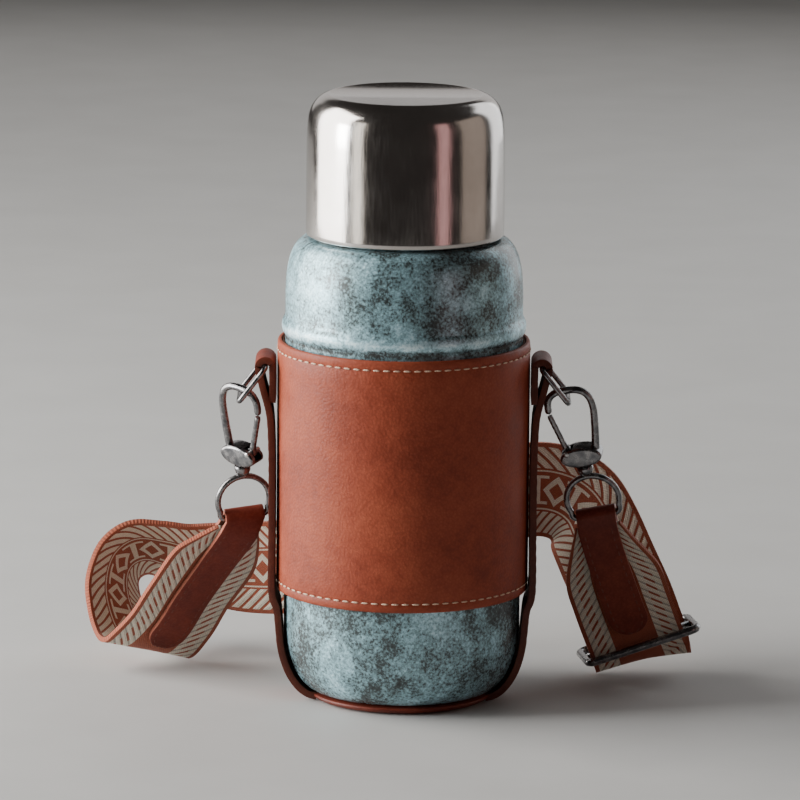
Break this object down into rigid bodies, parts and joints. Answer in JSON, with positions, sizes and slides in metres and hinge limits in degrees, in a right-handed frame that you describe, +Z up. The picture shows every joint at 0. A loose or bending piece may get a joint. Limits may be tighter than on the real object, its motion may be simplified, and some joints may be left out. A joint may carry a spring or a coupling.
{
  "type": "vacuum bottle with cup lid in a leather strap sleeve",
  "caption": "Insulated steel bottle with a screw-on cup lid, in a stitched leather sleeve and sling, with snap hooks and a woven shoulder strap.",
  "frame": {"origin": "on the bottle's axis, at the underside of the leather base disc", "axes": "+Z up along the bottle's axis, -Y the bottle's front, +X to the right hook"},
  "size_m": [0.2039, 0.1187, 0.198],
  "materials": {
    "patina_steel": "mottled blue-grey patina over steel",
    "polished_steel": "polished dark steel",
    "brushed_steel": "brushed",
    "black_nickel": "black nickel plate, polished",
    "tan_leather": "fine-grained, satin",
    "leather_back": "raw suede back",
    "webbing": "woven jacquard",
    "black_plastic": "satin",
    "silicone": "matt",
    "spring_steel": "bright wire"
  },
  "bodies": {
    "harness": {"sleeve_panel": "tan_leather", "sleeve_lining": "leather_back", "rear_seam_strip": "tan_leather", "base_disc": "tan_leather", "left_side_strap": "tan_leather", "right_side_strap": "tan_leather", "left_swivel_eye": "black_nickel", "right_swivel_eye": "black_nickel", "left_tab": "tan_leather", "right_tab": "tan_leather", "strap_left_flap": "webbing", "strap_left_loop": "webbing", "strap_back_run": "webbing", "strap_right_turn": "webbing", "strap_right_flap": "webbing", "slider_frame": "black_nickel"},
    "bottle": {"bottle_shell": "patina_steel", "bottle_liner": "brushed_steel", "bottle_base_cap": "brushed_steel", "neck_collar": "brushed_steel"},
    "stopper_carrier": {"stopper_gasket": "silicone"},
    "stopper": {"stopper_body": "black_plastic", "button_spring": "spring_steel"},
    "pour_button": {"pour_button": "black_plastic", "pour_valve": "black_plastic", "valve_seal": "silicone"},
    "cup_seat": {"cup_seal": "silicone"},
    "cup_inner": {"cup_liner": "brushed_steel"},
    "cup": {"cup_shell": "polished_steel", "cup_thread_ring": "black_plastic"},
    "left_ring": {"left_ring": "black_nickel"},
    "left_hook": {"left_hook_frame": "black_nickel", "left_gate_pin": "brushed_steel"},
    "left_gate": {"left_gate": "black_nickel"},
    "right_ring": {"right_ring": "black_nickel"},
    "right_hook": {"right_hook_frame": "black_nickel", "right_gate_pin": "brushed_steel"},
    "right_gate": {"right_gate": "black_nickel"}
  },
  "joints": [
    {"name": "bottle_lift", "type": "slide", "parent": "harness", "child": "bottle", "axis": [0, 0, 1], "range_m": [0, 0.125]},
    {"name": "stopper_rise", "type": "slide", "parent": "bottle", "child": "stopper_carrier", "axis": [0, 0, 1], "range_m": [0, 0.0046]},
    {"name": "stopper_turn", "type": "hinge", "parent": "stopper_carrier", "child": "stopper", "pos_m": [0, 0, 0.168], "axis": [0, 0, 1], "range_deg": [0, 540]},
    {"name": "button_press", "type": "slide", "parent": "stopper", "child": "pour_button", "axis": [0, 0, -1], "range_m": [0, 0.0025], "stiffness_N_per_m": 400, "springref_m": -0.001, "deforming": ["button_spring"]},
    {"name": "cup_lift_off", "type": "slide", "parent": "bottle", "child": "cup_seat", "axis": [0, 0, 1], "range_m": [0, 0.06]},
    {"name": "cup_rise", "type": "slide", "parent": "cup_seat", "child": "cup_inner", "axis": [0, 0, 1], "range_m": [0, 0.0038]},
    {"name": "cup_turn", "type": "hinge", "parent": "cup_inner", "child": "cup", "pos_m": [0, 0, 0.16], "axis": [0, 0, 1], "range_deg": [0, 450]},
    {"name": "left_ring_swing", "type": "hinge", "parent": "harness", "child": "left_ring", "pos_m": [-0.0447, 0, 0.1096], "axis": [0, 1, 0], "range_deg": [-8, 1.5]},
    {"name": "left_swivel", "type": "hinge", "parent": "harness", "child": "left_hook", "pos_m": [-0.053, 0, 0.0987], "axis": [0.03, 0.2701, -0.9624], "range_deg": [-12, 20]},
    {"name": "left_gate_open", "type": "hinge", "parent": "left_hook", "child": "left_gate", "pos_m": [-0.04895, 0.00258, 0.0795], "axis": [-0.6141, -0.7547, -0.231], "range_deg": [0, 16], "stiffness_Nm_per_rad": 0.02, "springref_deg": -8.59},
    {"name": "right_ring_swing", "type": "hinge", "parent": "harness", "child": "right_ring", "pos_m": [0.0447, 0, 0.1096], "axis": [0, 1, 0], "range_deg": [-1.5, 8]},
    {"name": "right_swivel", "type": "hinge", "parent": "harness", "child": "right_hook", "pos_m": [0.0532, 0, 0.0989], "axis": [0.2329, 0.2649, -0.9357], "range_deg": [-20, 20]},
    {"name": "right_gate_open", "type": "hinge", "parent": "right_hook", "child": "right_gate", "pos_m": [0.05346, 0.006, 0.08004], "axis": [0.1412, 0.9428, 0.3021], "range_deg": [0, 16], "stiffness_Nm_per_rad": 0.02, "springref_deg": -8.59}
  ],
  "couplings": [
    {"joint": "stopper_rise", "follows": "stopper_turn", "m_per_rad": 0.0004775},
    {"joint": "cup_rise", "follows": "cup_turn", "m_per_rad": 0.0004775}
  ]
}
